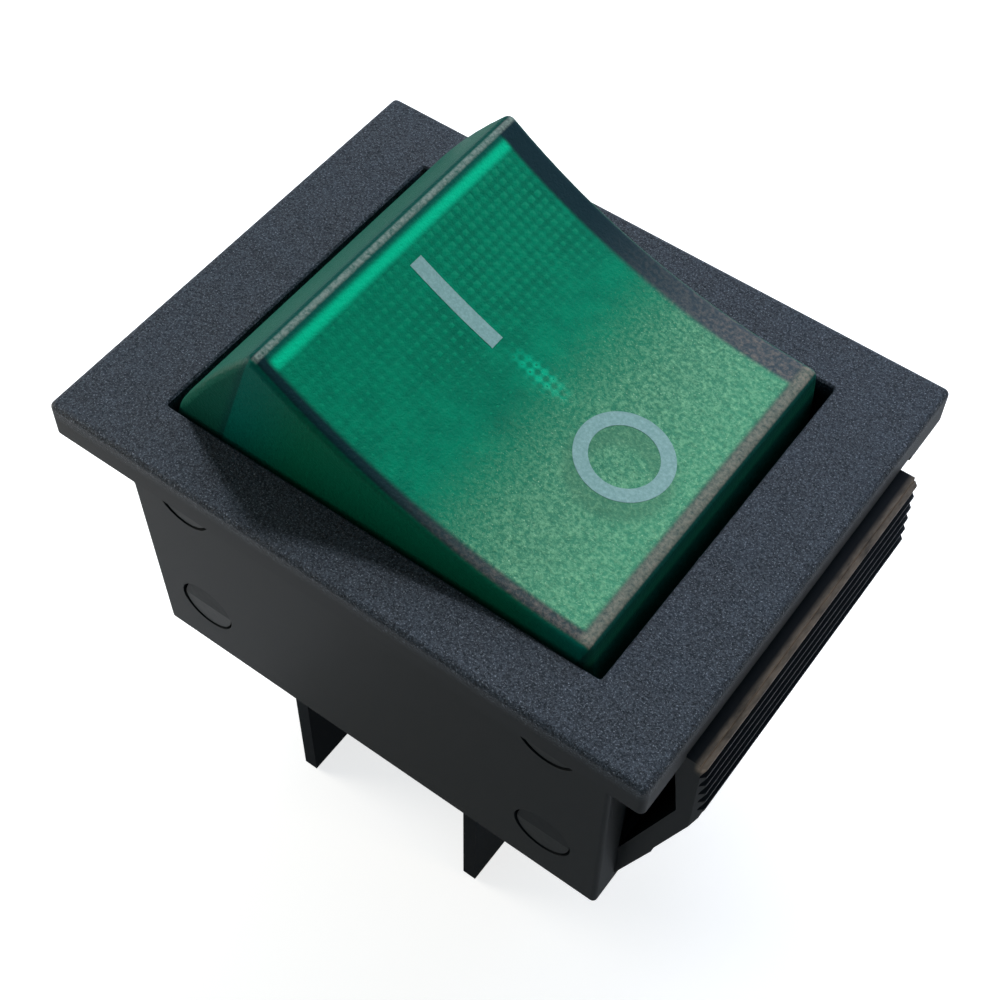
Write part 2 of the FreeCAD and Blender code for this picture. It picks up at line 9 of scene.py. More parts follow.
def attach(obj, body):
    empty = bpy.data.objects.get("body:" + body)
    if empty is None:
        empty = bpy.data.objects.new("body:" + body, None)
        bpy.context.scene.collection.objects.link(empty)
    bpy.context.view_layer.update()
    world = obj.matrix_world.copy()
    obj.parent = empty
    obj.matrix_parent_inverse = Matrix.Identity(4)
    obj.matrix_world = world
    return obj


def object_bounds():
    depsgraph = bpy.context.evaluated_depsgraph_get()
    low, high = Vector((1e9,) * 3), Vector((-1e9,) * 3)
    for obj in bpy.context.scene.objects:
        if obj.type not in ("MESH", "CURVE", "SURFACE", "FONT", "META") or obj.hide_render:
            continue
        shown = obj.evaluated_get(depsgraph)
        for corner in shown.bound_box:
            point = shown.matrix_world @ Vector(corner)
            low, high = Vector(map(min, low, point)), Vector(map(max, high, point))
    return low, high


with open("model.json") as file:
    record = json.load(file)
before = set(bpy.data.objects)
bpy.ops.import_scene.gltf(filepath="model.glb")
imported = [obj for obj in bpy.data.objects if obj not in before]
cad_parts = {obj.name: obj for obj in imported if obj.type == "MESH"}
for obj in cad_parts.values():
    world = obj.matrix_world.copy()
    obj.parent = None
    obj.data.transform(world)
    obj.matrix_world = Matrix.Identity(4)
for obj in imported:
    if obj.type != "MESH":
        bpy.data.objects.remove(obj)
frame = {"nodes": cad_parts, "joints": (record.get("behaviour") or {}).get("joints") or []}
cadLow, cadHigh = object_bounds()
print("frame loaded:", len(frame["nodes"]), "nodes")

mm = 0.001
switch = frame["nodes"]
poles = ("front", "rear")

# the rocker is drawn level about its hinge and rests tipped by half its throw
hinge = [joint for joint in frame["joints"] if joint["name"] == "rocker_tilt"][0]
restTilt = math.radians(hinge["range_deg"][1] - hinge["range_deg"][0]) / 2
tipped = Matrix.Rotation(restTilt, 4, "Y")
levelToRest = Matrix.Translation(hinge["pos_m"]) @ tipped @ Matrix.Scale(mm, 4)

# how a look's plain words are named on the shader
shaderInputs = {"roughness": "Roughness", "metallic": "Metallic", "level": "Specular IOR Level",
                "clear": "Transmission Weight", "bend": "IOR"}
noiseRoughness = 0.7        # how much each finer octave of a noise still shows
bumpLevels = (0.2, 0.8)     # noise levels of a bump's foot and top


def linear(code):
    # sRGB hex to linear light
    parts = [int(code[i:i + 2], 16) / 255 for i in (1, 3, 5)]
    return [c / 12.92 if c <= 0.04045 else ((c + 0.055) / 1.055) ** 2.4 for c in parts] + [1.0]


def addNode(tree, kind, values=None, **settings):
    # a node with its settings, and fixed values or links for its inputs; returns the outputs in use by name
    made = tree.nodes.new(kind)
    for name, value in settings.items():
        setattr(made, name, value)
    for key, value in (values or {}).items():
        if isinstance(key, int):
            socket = made.inputs[key]
        else:
            socket = next(entry for entry in made.inputs if entry.name == key and entry.enabled)
        if isinstance(value, bpy.types.NodeSocket):
            tree.links.new(value, socket)
        else:
            socket.default_value = value
    return {socket.name: socket for socket in made.outputs if socket.enabled}


def newMaterial(name, look):
    material = bpy.data.materials.new(name)
    material.use_nodes = True
    inputs = material.node_tree.nodes["Principled BSDF"].inputs
    inputs["Base Color"].default_value = linear(look["colour"])
    inputs["Specular Tint"].default_value = linear(look.get("edge", "#ffffff"))
    for word, socket in shaderInputs.items():
        if word in look:
            inputs[socket].default_value = look[word]
    return material


def readPlace(tree, tilt=0.0, centre=(0.0, 0.0, 0.0)):
    # object coordinates in millimetres, turned back by the tilt about the centre
    back = Matrix.Rotation(-tilt, 3, "Y") @ Vector(centre) / mm
    place = addNode(tree, "ShaderNodeTexCoord")["Object"]
    turned = addNode(tree, "ShaderNodeMapping", {"Vector": place, "Location": -back,
                                                 "Rotation": (0.0, -tilt, 0.0), "Scale": (1 / mm,) * 3})
    return turned["Vector"]


def readAxes(tree, place):
    # the place's three axes, and its distance either way from the middle along two of them
    parts = addNode(tree, "ShaderNodeSeparateXYZ", {0: place})
    axes = dict(zip(("along", "across", "up"), parts.values()))
    for name in ("along", "across"):
        either = addNode(tree, "ShaderNodeMath", {0: axes[name]}, operation="ABSOLUTE")
        axes["either way " + name] = either["Value"]
    return axes


def speckle(tree, place, grain, low, high, detail=2.0, stretch=(1.0, 1.0, 1.0)):
    # a mask of grains, given by their width in millimetres and the noise levels between which it rises
    spread = addNode(tree, "ShaderNodeMapping", {"Vector": place, "Scale": stretch})["Vector"]
    noise = addNode(tree, "ShaderNodeTexNoise", {"Vector": spread, "Scale": 1 / grain, "Detail": detail,
                                                 "Roughness": noiseRoughness})["Fac"]
    return addNode(tree, "ShaderNodeMapRange", {"Value": noise, "From Min": low, "From Max": high})["Result"]


def speckles(tree, place, look):
    return {name: speckle(tree, place, **grains) for name, grains in look["masks"].items()}


def paintZones(tree, look, axes, masks):
    # lays zone after zone over the look's colour, each within its soft edges and its mask
    colour = linear(look["colour"])
    for zone in look["zones"]:
        share = zone.get("share", 1.0)
        for axis, clear, full in zone.get("edges", ()):
            edge = addNode(tree, "ShaderNodeMapRange",
                           {"Value": axes[axis], "From Min": clear, "From Max": full},
                           interpolation_type="SMOOTHSTEP")["Result"]
            share = addNode(tree, "ShaderNodeMath", {0: edge, 1: share}, operation="MULTIPLY")["Value"]
        if "mask" in zone:
            share = addNode(tree, "ShaderNodeMath", {0: masks[zone["mask"]], 1: share},
                            operation="MULTIPLY")["Value"]
        colour = addNode(tree, "ShaderNodeMix", {"Factor": share, "A": colour, "B": linear(zone["colour"])},
                         data_type="RGBA")["Result"]
    tree.links.new(colour, tree.nodes["Principled BSDF"].inputs["Base Color"])


def roughen(tree, place, grain, depth, detail=3.0, strength=1.0):
    # bumps of a width and a depth in millimetres
    height = speckle(tree, place, grain, *bumpLevels, detail)
    bump = addNode(tree, "ShaderNodeBump", {"Height": height, "Distance": depth * mm, "Strength": strength})
    tree.links.new(bump["Normal"], tree.nodes["Principled BSDF"].inputs["Normal"])


def dress(material, *names):
    for name in names:
        switch[name].data.materials[0] = material


# Housing: black nylon 66, injection moulded. Only the bezel's top has the spark-eroded grain; its paler tone
# and pale grains are partly painted sheen of the light from above, and its bright specks are painted glints.
# The heads of the snap wings carry a tan band: nylon scuffed by the panel's edge, with a painted highlight.
grainRise = ("up", 0.9, 1.85)       # mm above the panel, where the grain, and the painted sheen with it, begins and is full
housingLook = {
    "colour": "#101518", "roughness": 0.5, "level": 0.12,
    "relief": {"grain": 0.14, "depth": 0.05},       # mm across and down a spark pit
    "sideRelief": 0.08,                             # share of the relief that the polished sides have
    "masks": {
        # pale grains of the top, partly painted sheen
        "grains": {"grain": 0.12, "low": 0.38, "high": 0.8, "detail": 3.0},
        # bright specks: painted glints of the light on the grain
        "painted_glints": {"grain": 0.08, "low": 0.57, "high": 0.77},
        "clouds": {"grain": 1.6, "low": 0.4, "high": 0.65},
        # tan band on the wings: scuffed nylon, partly painted highlight
        "scuffs_and_sheen": {"grain": 0.5, "low": 0.15, "high": 0.6, "detail": 3.0, "stretch": (1.0, 0.3, 1.0)},
    },
    "zones": [
        # the top, paler than the sides as partly painted sheen of the light from above
        {"colour": "#15191d", "edges": [grainRise]},
        {"colour": "#1a2026", "edges": [grainRise], "mask": "clouds"},
        {"colour": "#4f565e", "edges": [grainRise], "mask": "grains", "share": 0.85},
        {"colour": "#949ba4", "edges": [grainRise], "mask": "painted_glints", "share": 0.8},
        # the wings' heads, just under the bezel: a tan band of scuffed nylon with a painted highlight of
        # warm side light
        {"colour": "#867665", "mask": "scuffs_and_sheen",
         "edges": [("either way along", 16.35, 16.65), ("either way along", 17.1, 16.85),
                   ("up", -1.5, -0.7), ("up", 0.1, -0.2)]},
    ],
}


def blackNylon():
    look = housingLook
    material = newMaterial("nylon_66_black_spark_finish", look)
    tree = material.node_tree
    place = readPlace(tree)
    axes = readAxes(tree, place)
    paintZones(tree, look, axes, speckles(tree, place, look))
    axis, start, full = grainRise
    strength = addNode(tree, "ShaderNodeMapRange", {"Value": axes[axis], "From Min": start, "From Max": full,
                                                    "To Min": look["sideRelief"], "To Max": 1.0})["Result"]
    roughen(tree, place, strength=strength, **look["relief"])
    return material


# Contact base: the same nylon from a polished cavity, with the faint flow marks of a filled moulding
baseLook = {
    "colour": "#12171a", "roughness": 0.42, "level": 0.14,
    "relief": {"grain": 0.8, "depth": 0.01, "detail": 2.0},     # mm
}


# Rocker: green see-through polycarbonate with a matte, spark-grained outside. Rows of prisms inside the top
# show as a square dot pattern. Much of its light is painted: a pale sheen on the O half, bright stripes and
# edge bands, and painted shade on the rims and flanks where the hollow inside shows. All sizes are in the
# level rocker's millimetres, along from the I end at -9.14 to the O end at 9.14, and across from the front
# to the rear.
dotsFade = ("along", -0.5, -3.5)
nearRim = ("across", -8.35, -8.7)
sideFlanks = ("either way across", 8.95, 9.12)
rockerLook = {
    "colour": "#00694e", "roughness": 0.45, "level": 0.035,
    "relief": {"grain": 0.2, "depth": 0.03},
    "prismPitch": 0.48,                     # mm from row to row
    "pits": (0.9, -1.4),                    # sum of the two prism waves where a pit is clear and full
    "ridges": (-1.2, 0.9),                  # and where a ridge is
    "ringShadow": (5.3, -1.2, 0.0),         # centre of the shadow that the printed ring casts inwards
    "brightStreak": (0.0, 0.2, 0.0),        # centre of the painted highlight where the prisms are brightest
    "streakStretch": (0.45, 1.3, 0.0),      # one over the streak's half length and half width
    "masks": {
        "clouds": {"grain": 1.1, "low": 0.3, "high": 0.7},
        "sparkles": {"grain": 0.2, "low": 0.42, "high": 0.85, "detail": 4.0},
        # dark specks of the grain: painted shade
        "shaded_hollows": {"grain": 0.28, "low": 0.5, "high": 0.2, "detail": 4.0},
        "painted_glints": {"grain": 0.09, "low": 0.62, "high": 0.8},
        # pale rough edges: wear with painted highlights
        "rubs_and_highlights": {"grain": 0.2, "low": 0.25, "high": 0.6, "detail": 4.0},
    },
    "zones": [
        # green depth and the dots of the I half
        {"colour": "#007a59", "mask": "clouds"},
        {"colour": "#00553f", "edges": [dotsFade], "mask": "pits", "share": 0.2},
        {"colour": "#00553f", "edges": [dotsFade, ("across", -5.0, 2.0)], "mask": "pits", "share": 0.3},
        # shadow beside the printed bar
        {"colour": "#005a43", "share": 0.35,
         "edges": [("either way along", 6.5, 3.5), ("across", -0.4, -1.2), ("across", -4.5, -2.5)]},
        # painted sheen of the light on the O half, a painted highlight streak where it begins, and the
        # printed ring's painted shadow in it
        {"colour": "#1b7053", "edges": [("along", -0.6, 2.4)], "share": 0.9},
        {"colour": "#00a67c", "edges": [("from streak", 1.0, 0.25)], "mask": "ridges", "share": 0.85},
        {"colour": "#39775b", "edges": [("along", 0.8, 5.0)]},
        {"colour": "#3f8464", "edges": [("along", 4.0, 8.5)]},
        # the grain of the O half: painted sparkles of light, painted shade in its dips and painted glints
        {"colour": "#8cc193", "edges": [("along", -0.8, 4.5)], "mask": "sparkles", "share": 0.85},
        {"colour": "#1a563f", "edges": [("along", -1.0, 3.5)], "mask": "shaded_hollows", "share": 0.65},
        {"colour": "#c4e6bc", "edges": [("along", -1.5, 3.0)], "mask": "painted_glints", "share": 0.6},
        {"colour": "#3f6a51", "edges": [("from ring", 1.0, 1.6), ("from ring", 2.8, 2.2)], "share": 0.45},
        # painted light piped into the I end as a bright stripe, and a dark line of painted shade at its end
        # wall
        {"colour": "#00ae80", "edges": [("along", -7.8, -8.2), ("along", -8.66, -8.26)]},
        {"colour": "#054a40", "edges": [("along", -8.4, -8.7)]},
        # dark rims down both long sides: painted shade of the side walls seen through the top, greyer
        # towards the O end as painted sheen
        {"colour": "#0c272a", "edges": [nearRim]},
        {"colour": "#142a2f", "edges": [("across", 7.65, 7.95)]},
        {"colour": "#353f40", "edges": [nearRim, ("along", -4.0, 7.0)]},
        {"colour": "#39444a", "edges": [("across", 7.5, 7.85), ("along", -4.0, 6.0)]},
        {"colour": "#2f4541", "edges": [("along", 8.3, 8.65)]},
        # pale bands on the edges: painted highlights on the rounded edges, partly worn pale by fingers, and
        # painted sheen on the rims
        {"colour": "#7d7a6c", "edges": [("along", 8.4, 8.7), ("along", 9.15, 9.0)], "mask": "rubs_and_highlights",
         "share": 0.8},
        {"colour": "#86796c", "edges": [("across", 7.5, 7.9), ("along", -3.0, 8.0)], "mask": "sparkles",
         "share": 0.9},
        {"colour": "#86796c", "edges": [nearRim, ("along", -2.0, 8.0)], "mask": "sparkles", "share": 0.8},
        {"colour": "#77847a", "edges": [("along", -8.7, -8.86), ("along", -9.14, -8.98)], "mask": "rubs_and_highlights"},
        # flanks below the top, darker as painted shade of the hollow inside seen through the walls; teal
        # towards the ends as painted highlight on the rounded corners; the ends darker still, with a dark
        # line of painted shade along the apex edges
        {"colour": "#00553c", "edges": [sideFlanks]},
        {"colour": "#00564a", "edges": [sideFlanks, ("either way along", 5.0, 9.2)]},
        {"colour": "#0a3f38", "edges": [("either way along", 9.05, 9.15)]},
        {"colour": "#0e4b3d", "edges": [("either way along", 9.15, 9.6)]},
    ],
}


def greenPolycarbonate():
    look = rockerLook
    material = newMaterial("polycarbonate_green_see_through", look)
    tree = material.node_tree
    place = readPlace(tree, restTilt, hinge["pos_m"])
    axes = readAxes(tree, place)
    flat = addNode(tree, "ShaderNodeCombineXYZ", {"X": axes["along"], "Y": axes["across"]})["Vector"]
    axes["from ring"] = addNode(tree, "ShaderNodeVectorMath", {0: flat, 1: look["ringShadow"]},
                                operation="DISTANCE")["Value"]
    aside = addNode(tree, "ShaderNodeVectorMath", {0: flat, 1: look["brightStreak"]},
                    operation="SUBTRACT")["Vector"]
    shrunk = addNode(tree, "ShaderNodeVectorMath", {0: aside, 1: look["streakStretch"]},
                     operation="MULTIPLY")["Vector"]
    axes["from streak"] = addNode(tree, "ShaderNodeVectorMath", {0: shrunk}, operation="LENGTH")["Value"]
    # the prisms' crossing ridges are two cosines, with pits where both are low
    waves = []
    for name in ("along", "across"):
        turn = addNode(tree, "ShaderNodeMath", {0: axes[name], 1: 2 * math.pi / look["prismPitch"]},
                       operation="MULTIPLY")["Value"]
        waves.append(addNode(tree, "ShaderNodeMath", {0: turn}, operation="COSINE")["Value"])
    crossing = addNode(tree, "ShaderNodeMath", {0: waves[0], 1: waves[1]}, operation="ADD")["Value"]
    masks = speckles(tree, place, look)
    for name in ("pits", "ridges"):
        clear, full = look[name]
        masks[name] = addNode(tree, "ShaderNodeMapRange",
                              {"Value": crossing, "From Min": clear, "From Max": full})["Result"]
    paintZones(tree, look, axes, masks)
    roughen(tree, place, **look["relief"])
    return material


# The lamp's tube is drawn soda glass, fire-polished and so clear
glassLook = {"colour": "#f4f6f4", "roughness": 0.02, "clear": 1.0, "bend": 1.52}

# Metals and the small parts inside, each with its pieces and the fine grain, in mm, that its making leaves.
# The real grain is too fine to show, so it is drawn coarser.
smallLooks = {
    # stamped blades under tin plate, coloured near black as painted shade, and pale only where light grazes
    # them
    "brass_blade_tin_plate_shade_dark": {
        "colour": "#0d1013", "roughness": 0.5, "metallic": 1.0, "edge": "#d4d7da",
        "relief": {"grain": 0.2, "depth": 0.005},
        "pieces": [kind + pole for kind in ("common_terminal_", "load_terminal_") for pole in poles]},
    # headed rivets: near white and bright
    "silver_alloy_contact": {
        "colour": "#c9ccd0", "roughness": 0.3, "metallic": 1.0,
        "relief": {"grain": 0.1, "depth": 0.002},
        "pieces": [kind + pole for kind in ("fixed_contact_", "moving_contact_") for pole in poles]},
    # rolled strip, bent: yellow with a satin sheen
    "brass_strip_rolled": {
        "colour": "#b08d57", "roughness": 0.3, "metallic": 1.0,
        "relief": {"grain": 0.3, "depth": 0.004},
        "pieces": ["contact_lever_" + pole for pole in poles]},
    # moulded acetal: white and slightly waxy
    "acetal_white_moulded": {
        "colour": "#d8d8d2", "roughness": 0.4,
        "relief": {"grain": 0.4, "depth": 0.004},
        "pieces": ["plunger_" + pole for pole in poles]},
    # drawn and coiled wire: grey with bright lines of light
    "spring_steel_wire": {
        "colour": "#8c9094", "roughness": 0.3, "metallic": 1.0,
        "relief": {"grain": 0.1, "depth": 0.002},
        "pieces": ["plunger_spring_" + pole for pole in poles]},
    # drawn wire and pressed caps, tinned: pale grey and soft
    "copper_wire_tinned": {
        "colour": "#a7a9ab", "roughness": 0.35, "metallic": 1.0,
        "relief": {"grain": 0.1, "depth": 0.002},
        "pieces": [kind + pole for kind in ("lamp_electrode_", "lamp_lead_") for pole in poles]
                  + ["resistor_lead", "resistor_cap_lamp_side", "resistor_cap_line_side"]},
    # ceramic rod dipped in lacquer: beige and dull
    "resistor_lacquer_beige": {
        "colour": "#b89b6c", "roughness": 0.5,
        "relief": {"grain": 0.3, "depth": 0.01},
        "pieces": ["resistor_body"]},
}


def evenFinish(name, look):
    # one colour all over, so that only the relief breaks the light
    material = newMaterial(name, look)
    tree = material.node_tree
    roughen(tree, readPlace(tree), **look["relief"])
    return material


dress(blackNylon(), "housing")
dress(evenFinish("nylon_66_black_polished_mould", baseLook), "contact_base")
dress(greenPolycarbonate(), "rocker")
dress(newMaterial("soda_glass_drawn", glassLook), "lamp_glass")
for name, look in smallLooks.items():
    dress(evenFinish(name, look), *look["pieces"])
print("materials set")


# The arc of the level rocker's hollow top in its CAD, in mm, from its lowest point to both apexes
crown = {"apex": 9.14, "rise": 1.39, "saddle": 5.75}
crown["radius"] = (crown["apex"] ** 2 + crown["rise"] ** 2) / (2 * crown["rise"])

# Legends: pad-printed ink film on the rocker's hollow top, the usual on and off marks, in mm
legendLook = {
    "film": 0.02,       # how far it stands proud of the plastic
    "barStart": -7.36, "barEnd": -2.38, "barWidth": 0.76, "barCentre": -0.02, "barSteps": 12,
    "ringCentre": (5.05, -0.46), "ringOuter": 2.28, "ringInner": 1.59, "ringSteps": 96,
    # a thin film that takes on the grain beneath it
    "ink": {
        "colour": "#6f918c", "roughness": 0.5, "level": 0.1,
        "masks": {"thin": {"grain": 0.15, "low": 0.4, "high": 0.75, "detail": 3.0}},
        "zones": [{"colour": "#86a5a1", "mask": "thin"}],
    },
}


def crownPoint(along, across, lift):
    up = crown["saddle"] + crown["radius"] - math.sqrt(crown["radius"] ** 2 - along ** 2) + lift
    return levelToRest @ Vector((along, across, up))


def printed(name, rows, closed):
    # a film from rows of (along, across) points, with its top, underside and edges
    mesh = bpy.data.meshes.new(name)
    shape = bmesh.new()
    top, under = [[[shape.verts.new(crownPoint(*point, lift)) for point in row] for row in rows]
                  for lift in (legendLook["film"], -legendLook["film"])]
    pairs = [(i, i + 1) for i in range(len(rows) - 1)]
    if closed:
        pairs.append((len(rows) - 1, 0))
    steps = range(len(rows[0]) - 1)
    for layer in (top, under):
        for i, k in pairs:
            for j in steps:
                shape.faces.new((layer[i][j], layer[k][j], layer[k][j + 1], layer[i][j + 1]))
    for i, k in pairs:
        for j in (0, -1):
            shape.faces.new((top[i][j], top[k][j], under[k][j], under[i][j]))
    if not closed:
        for i in (0, -1):
            for j in steps:
                shape.faces.new((top[i][j], top[i][j + 1], under[i][j + 1], under[i][j]))
    bmesh.ops.recalc_face_normals(shape, faces=shape.faces)
    shape.to_mesh(mesh)
    shape.free()
    film = bpy.data.objects.new(name, mesh)
    bpy.context.scene.collection.objects.link(film)
    return film


def paleInk():
    look = legendLook["ink"]
    material = newMaterial("pad_print_ink_pale_grey", look)
    tree = material.node_tree
    place = readPlace(tree)
    paintZones(tree, look, readAxes(tree, place), speckles(tree, place, look))
    return material


def legendBar():
    look = legendLook
    step = (look["barEnd"] - look["barStart"]) / look["barSteps"]
    rows = [[(look["barStart"] + step * i, look["barCentre"] + side * look["barWidth"] / 2)
             for i in range(look["barSteps"] + 1)] for side in (-1, 1)]
    return printed("legend_on_bar", rows, closed=False)


def legendRing():
    look = legendLook
    along, across = look["ringCentre"]
    rows = []
    for i in range(look["ringSteps"]):
        angle = 2 * math.pi * i / look["ringSteps"]
        rows.append([(along + radius * math.cos(angle), across + radius * math.sin(angle))
                     for radius in (look["ringInner"], look["ringOuter"])])
    return printed("legend_off_ring", rows, closed=True)


# Prism rows: low pyramids over the I half of the rocker's top, smaller towards the O end and the near side.
# Their plastic is the rocker's green, a little lighter as painted light that the prisms catch, so that the
# rows read as dots. Lengths are in mm.
prismLook = {
    "plastic": {"colour": "#007857", "roughness": 0.4, "level": 0.06},
    "pitch": rockerLook["prismPitch"], "width": 0.36, "height": 0.02,
    "left": -7.68, "right": 0.96, "near": -8.16, "far": 7.2,
    "fadeStart": -4.5, "fadeEnd": 1.0, "smallest": 0.2,     # the share of the size left at the fade's end
    "nearStart": -7.0, "nearEnd": 2.5, "nearest": 0.6,      # the share of the size at the near side
    "barMargin": 0.3,                                       # kept free round the printed bar
    "uneven": 0.75, "seed": 4,                              # the smallest random share of a size
}
prismSpan = prismLook["right"] - prismLook["left"]
prismReach = prismLook["far"] - prismLook["near"]
prismInputs = {
    "Length": ("NodeSocketFloat", prismSpan),
    "Width": ("NodeSocketFloat", prismReach),
    "Columns": ("NodeSocketInt", round(prismSpan / prismLook["pitch"]) + 1),
    "Rows": ("NodeSocketInt", round(prismReach / prismLook["pitch"]) + 1),
    "Centre": ("NodeSocketVector", ((prismLook["left"] + prismLook["right"]) / 2,
                                    (prismLook["near"] + prismLook["far"]) / 2, 0.0)),
    "Prism Radius": ("NodeSocketFloat", prismLook["width"] / math.sqrt(2)),
    "Prism Height": ("NodeSocketFloat", prismLook["height"]),
    "Crown Radius": ("NodeSocketFloat", crown["radius"]),
    "Saddle": ("NodeSocketFloat", crown["saddle"]),
    "Fade Start": ("NodeSocketFloat", prismLook["fadeStart"]),
    "Fade End": ("NodeSocketFloat", prismLook["fadeEnd"]),
    "Smallest": ("NodeSocketFloat", prismLook["smallest"]),
    "Near Start": ("NodeSocketFloat", prismLook["nearStart"]),
    "Near End": ("NodeSocketFloat", prismLook["nearEnd"]),
    "Nearest": ("NodeSocketFloat", prismLook["nearest"]),
    "Uneven": ("NodeSocketFloat", prismLook["uneven"]),
    "Bar End": ("NodeSocketFloat", legendLook["barEnd"] + prismLook["barMargin"]),
    "Bar Reach": ("NodeSocketFloat", legendLook["barWidth"] / 2 + prismLook["barMargin"]),
    "Seed": ("NodeSocketInt", prismLook["seed"]),
}


def prismTree():
    tree = bpy.data.node_groups.new("prism rows", "GeometryNodeTree")
    for name, (kind, value) in prismInputs.items():
        tree.interface.new_socket(name=name, in_out="INPUT", socket_type=kind)
    tree.interface.new_socket(name="Material", in_out="INPUT", socket_type="NodeSocketMaterial")
    tree.interface.new_socket(name="Geometry", in_out="OUTPUT", socket_type="NodeSocketGeometry")
    given = addNode(tree, "NodeGroupInput")
    rows = addNode(tree, "GeometryNodeMeshGrid", {"Size X": given["Length"], "Vertices X": given["Columns"],
                                                  "Size Y": given["Width"], "Vertices Y": given["Rows"]})
    centred = addNode(tree, "GeometryNodeSetPosition", {"Geometry": rows["Mesh"], "Offset": given["Centre"]})
    place = addNode(tree, "GeometryNodeInputPosition")["Position"]
    parts = addNode(tree, "ShaderNodeSeparateXYZ", {0: place})
    along = parts["X"]
    across = parts["Y"]
    # the crown is an arc, so each point stands over the saddle by the radius less its cosine's share
    radius = given["Crown Radius"]
    sine = addNode(tree, "ShaderNodeMath", {0: along, 1: radius}, operation="DIVIDE")["Value"]
    slope = addNode(tree, "ShaderNodeMath", {0: sine}, operation="ARCSINE")["Value"]
    cosine = addNode(tree, "ShaderNodeMath", {0: slope}, operation="COSINE")["Value"]
    drop = addNode(tree, "ShaderNodeMath", {0: cosine, 1: radius}, operation="MULTIPLY")["Value"]
    rise = addNode(tree, "ShaderNodeMath", {0: radius, 1: drop}, operation="SUBTRACT")["Value"]
    height = addNode(tree, "ShaderNodeMath", {0: rise, 1: given["Saddle"]}, operation="ADD")["Value"]
    lift = addNode(tree, "ShaderNodeCombineXYZ", {"Z": height})["Vector"]
    curved = addNode(tree, "GeometryNodeSetPosition", {"Geometry": centred["Geometry"], "Offset": lift})
    # no prism under the printed bar
    reach = addNode(tree, "ShaderNodeMath", {0: across}, operation="ABSOLUTE")["Value"]
    inside = addNode(tree, "ShaderNodeMath", {0: reach, 1: given["Bar Reach"]},
                     operation="LESS_THAN")["Value"]
    before = addNode(tree, "ShaderNodeMath", {0: along, 1: given["Bar End"]},
                     operation="LESS_THAN")["Value"]
    under = addNode(tree, "ShaderNodeMath", {0: inside, 1: before}, operation="MULTIPLY")["Value"]
    showing = addNode(tree, "GeometryNodeDeleteGeometry", {"Geometry": curved["Geometry"],
                                                           "Selection": under})
    # one pyramid, its sides in line with the rows and its axis square to the crown
    pyramid = addNode(tree, "GeometryNodeMeshCone", {"Vertices": 4, "Radius Bottom": given["Prism Radius"],
                                                     "Depth": given["Prism Height"]}, fill_type="NONE")
    squared = addNode(tree, "GeometryNodeTransform", {"Geometry": pyramid["Mesh"],
                                                      "Rotation": (0.0, 0.0, math.pi / 4)})
    lean = addNode(tree, "ShaderNodeMath", {0: slope, 1: -1.0}, operation="MULTIPLY")["Value"]
    angles = addNode(tree, "ShaderNodeCombineXYZ", {"Y": lean})["Vector"]
    turn = addNode(tree, "FunctionNodeEulerToRotation", {0: angles})["Rotation"]
    fade = addNode(tree, "ShaderNodeMapRange", {"Value": along, "From Min": given["Fade Start"],
                                                "From Max": given["Fade End"], "To Min": 1.0,
                                                "To Max": given["Smallest"]})["Result"]
    near = addNode(tree, "ShaderNodeMapRange", {"Value": across, "From Min": given["Near Start"],
                                                "From Max": given["Near End"], "To Min": given["Nearest"],
                                                "To Max": 1.0})["Result"]
    faded = addNode(tree, "ShaderNodeMath", {0: fade, 1: near}, operation="MULTIPLY")["Value"]
    uneven = addNode(tree, "FunctionNodeRandomValue", {"Min": given["Uneven"], "Max": 1.0,
                                                       "Seed": given["Seed"]}, data_type="FLOAT")["Value"]
    size = addNode(tree, "ShaderNodeMath", {0: faded, 1: uneven}, operation="MULTIPLY")["Value"]
    placed = addNode(tree, "GeometryNodeInstanceOnPoints", {"Points": showing["Geometry"], "Scale": size,
                                                            "Instance": squared["Geometry"],
                                                            "Rotation": turn})
    real = addNode(tree, "GeometryNodeRealizeInstances", {0: placed["Instances"]})
    skinned = addNode(tree, "GeometryNodeSetMaterial", {"Geometry": real["Geometry"],
                                                        "Material": given["Material"]})
    addNode(tree, "NodeGroupOutput", {0: skinned["Geometry"]})
    return tree


def prismRows():
    piece = bpy.data.objects.new("rocker_prism_rows", bpy.data.meshes.new("prism_rows"))
    bpy.context.scene.collection.objects.link(piece)
    rows = piece.modifiers.new("rows", "NODES")
    rows.node_group = prismTree()
    values = {name: value for name, (kind, value) in prismInputs.items()}
    values["Material"] = newMaterial("polycarbonate_green_prism", prismLook["plastic"])
    for socket in rows.node_group.interface.items_tree:
        if socket.in_out == "INPUT":
            rows[socket.identifier] = values[socket.name]
    evaluated = piece.evaluated_get(bpy.context.evaluated_depsgraph_get())
    mesh = bpy.data.meshes.new_from_object(evaluated)
    piece.modifiers.remove(rows)
    piece.data = mesh
    mesh.transform(levelToRest)
    return piece


prisms = prismRows()
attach(prisms, "rocker")
print("prism rows:", len(prisms.data.polygons), "faces")

ink = paleInk()
for film in (legendBar(), legendRing()):
    film.data.materials.append(ink)
    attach(film, "rocker")
print("legends printed")


# Floor, world, lamps and camera
studio = {
    "floorSize": 3.0,                                    # m
    "floorGap": 0.02,                                    # mm under the blades
    "paper": "#cccccc",
    "paperSeen": 0.75, "paperMirrored": 0.12,            # light added for the camera and in reflections
    "horizon": 0.42, "horizonTint": "#fff8f0", "zenith": 0.22, "zenithTint": "#b8e8ff",
    "horizonRise": 0.05, "zenithRise": 0.35,             # sines of the heights where each is full
    "cameraPlace": (28.818, -41.259, 64.931),            # mm
    "cameraTurn": (35.2998, -0.8944, 36.2196),           # degrees
    "focal": 1782.0, "picture": 1000.0, "sensor": 36.0,  # focal length in pixels of the 1000 pixel picture
}
